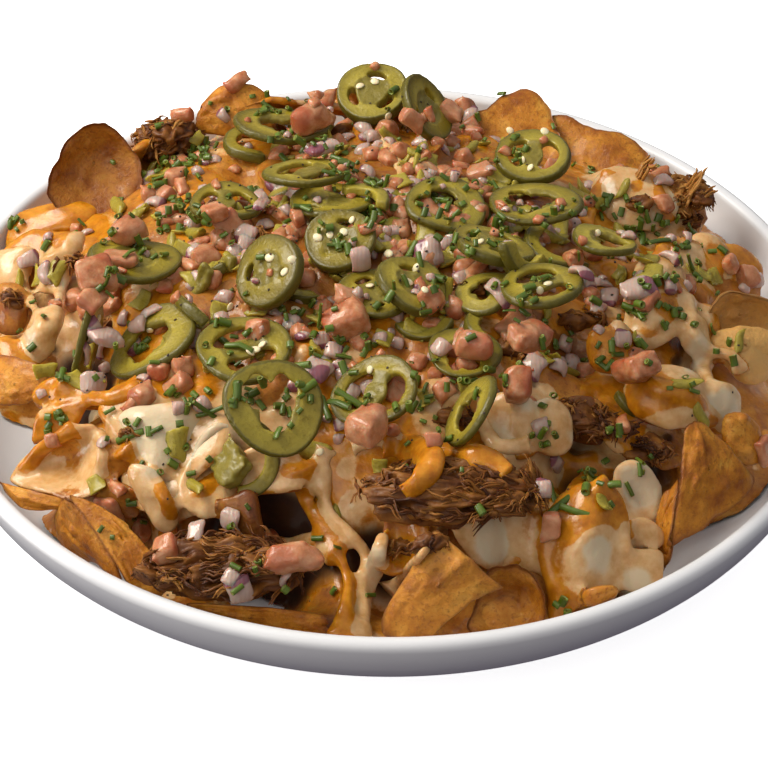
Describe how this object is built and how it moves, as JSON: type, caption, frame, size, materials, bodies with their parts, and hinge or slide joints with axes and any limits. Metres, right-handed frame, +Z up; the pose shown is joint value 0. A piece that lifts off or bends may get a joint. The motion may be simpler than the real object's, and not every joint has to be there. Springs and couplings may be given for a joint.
{
  "type": "loaded nachos in a shallow bowl",
  "caption": "Shallow white coupe bowl heaped with fried corn chips in cheese sauce, topped with pulled pork, jalapeno slices, diced tomato, red onion and cut chives.",
  "frame": {"origin": "on the supporting surface, at the middle of the bowl's foot", "axes": "+Z up, -Y toward the diner, +X to the diner's right"},
  "size_m": [0.29, 0.29, 0.096],
  "materials": {
    "porcelain": "glossy",
    "cheese_nachos": "glossy",
    "fried_corn_chip": "satin",
    "pulled_pork": "satin",
    "pickled_jalapeno": "glossy",
    "tomato": "glossy",
    "red_onion": "satin"
  },
  "bodies": {
    "root": {"bowl": "porcelain", "nacho_pile": "cheese_nachos", "chip_back_left": "fried_corn_chip", "chip_back_hump": "fried_corn_chip", "chip_back_right": "fried_corn_chip", "chip_far_right": "fried_corn_chip", "chip_left": "fried_corn_chip", "chip_left_rim": "fried_corn_chip", "chip_lower_left": "fried_corn_chip", "chip_front_rim": "fried_corn_chip", "chip_front": "fried_corn_chip", "chip_front_inner": "fried_corn_chip", "chip_right_front": "fried_corn_chip", "chip_right_nub": "fried_corn_chip", "chip_right": "fried_corn_chip", "pulled_pork_front_left": "pulled_pork", "pulled_pork_front": "pulled_pork", "pulled_pork_back_right": "pulled_pork", "pulled_pork_back_left": "pulled_pork", "jalapeno_slice_01": "pickled_jalapeno", "jalapeno_slice_02": "pickled_jalapeno", "jalapeno_slice_03": "pickled_jalapeno", "jalapeno_slice_04": "pickled_jalapeno", "jalapeno_slice_05": "pickled_jalapeno", "jalapeno_slice_06": "pickled_jalapeno", "jalapeno_slice_07": "pickled_jalapeno", "jalapeno_slice_08": "pickled_jalapeno", "jalapeno_slice_09": "pickled_jalapeno", "jalapeno_slice_10": "pickled_jalapeno", "jalapeno_slice_11": "pickled_jalapeno", "jalapeno_slice_12": "pickled_jalapeno", "jalapeno_slice_13": "pickled_jalapeno", "jalapeno_slice_14": "pickled_jalapeno", "jalapeno_slice_15": "pickled_jalapeno", "jalapeno_slice_16": "pickled_jalapeno", "jalapeno_slice_17": "pickled_jalapeno", "jalapeno_slice_18": "pickled_jalapeno", "jalapeno_slice_19": "pickled_jalapeno", "jalapeno_slice_20": "pickled_jalapeno", "jalapeno_slice_21": "pickled_jalapeno", "jalapeno_slice_22": "pickled_jalapeno", "jalapeno_slice_23": "pickled_jalapeno", "jalapeno_slice_24": "pickled_jalapeno", "jalapeno_slice_25": "pickled_jalapeno", "tomato_dice_01": "tomato", "tomato_dice_02": "tomato", "tomato_dice_03": "tomato", "tomato_dice_04": "tomato", "tomato_dice_05": "tomato", "tomato_dice_06": "tomato", "tomato_dice_07": "tomato", "tomato_dice_08": "tomato", "tomato_dice_09": "tomato", "tomato_dice_10": "tomato", "onion_dice_01": "red_onion", "onion_dice_02": "red_onion", "onion_dice_03": "red_onion", "onion_dice_04": "red_onion", "onion_dice_05": "red_onion"}
  },
  "joints": []
}
